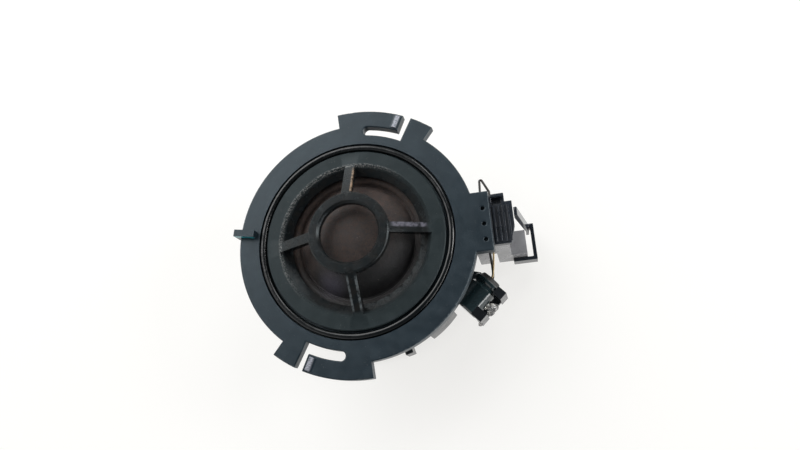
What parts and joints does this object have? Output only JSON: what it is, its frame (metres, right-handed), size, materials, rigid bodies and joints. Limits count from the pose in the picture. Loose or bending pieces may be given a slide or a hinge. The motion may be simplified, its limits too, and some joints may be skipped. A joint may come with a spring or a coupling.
{
  "type": "dome tweeter",
  "caption": "Round car-door tweeter: bayonet flange, spoked face plate over a fabric dome, rear cover, side plug socket and a series capacitor in a cradle.",
  "frame": {"origin": "on the dome's axis, in the plane of the bayonet flange's back face, where the trim's lugs grip it", "axes": "+Z out of the front along the dome's axis, +X towards the plug socket, +Y to the left of the socket seen from the front"},
  "size_m": [0.0643, 0.0586, 0.0277],
  "materials": {
    "frame_plastic": "satin, fine grained",
    "marking_paint": "dab of paint",
    "seal_compound": "wet-looking soft bead",
    "plate_plastic": "satin",
    "dome_fabric": "coated woven cloth",
    "surround_fabric": "coated woven cloth",
    "former_foil": "thin foil",
    "coil_wire": "lacquered winding wire",
    "cover_plastic": "satin",
    "plated_steel": "plated",
    "magnet_plating": "nickel plated",
    "felt": "soft felt",
    "socket_plastic": "semi-gloss light grey",
    "dark_plastic": "satin",
    "tinned_pins": "tinned",
    "capacitor_sleeve": "shrunk film sleeve",
    "bung_rubber": "moulded",
    "lead_wire": "plain wire",
    "solder": "bright tin",
    "hot_glue": "clear, waxy"
  },
  "bodies": {
    "frame": {"front_frame": "frame_plastic", "coding_mark": "marking_paint", "seal_ring": "seal_compound", "face_plate": "plate_plastic", "coil_tails": "coil_wire", "diaphragm_ring": "cover_plastic", "yoke_cup": "plated_steel", "magnet": "magnet_plating", "pole_plate": "plated_steel", "pole_felt": "felt", "chamber_pad": "felt", "rear_cover": "cover_plastic", "connector_body": "socket_plastic", "connector_cover": "dark_plastic", "contact_pins": "tinned_pins", "capacitor_can": "capacitor_sleeve", "capacitor_bung": "bung_rubber", "capacitor_leads": "lead_wire", "link_wire": "lead_wire", "lead_lugs": "lead_wire", "solder_joints": "solder", "glue_beads": "hot_glue"},
    "diaphragm": {"dome": "dome_fabric", "surround": "surround_fabric", "voice_coil_former": "former_foil", "voice_coil": "coil_wire"},
    "latch": {"latch_loop": "dark_plastic"}
  },
  "joints": [
    {"name": "diaphragm_travel", "type": "slide", "parent": "frame", "child": "diaphragm", "axis": [0, 0, 1], "range_m": [-0.0004, 0.0004], "stiffness_N_per_m": 1500, "deforming": ["surround"]},
    {"name": "latch_flex", "type": "hinge", "parent": "frame", "child": "latch", "pos_m": [0.0339, 0.0025, -0.001], "axis": [0, -1, 0], "range_deg": [0, 8], "stiffness_Nm_per_rad": 0.2}
  ]
}
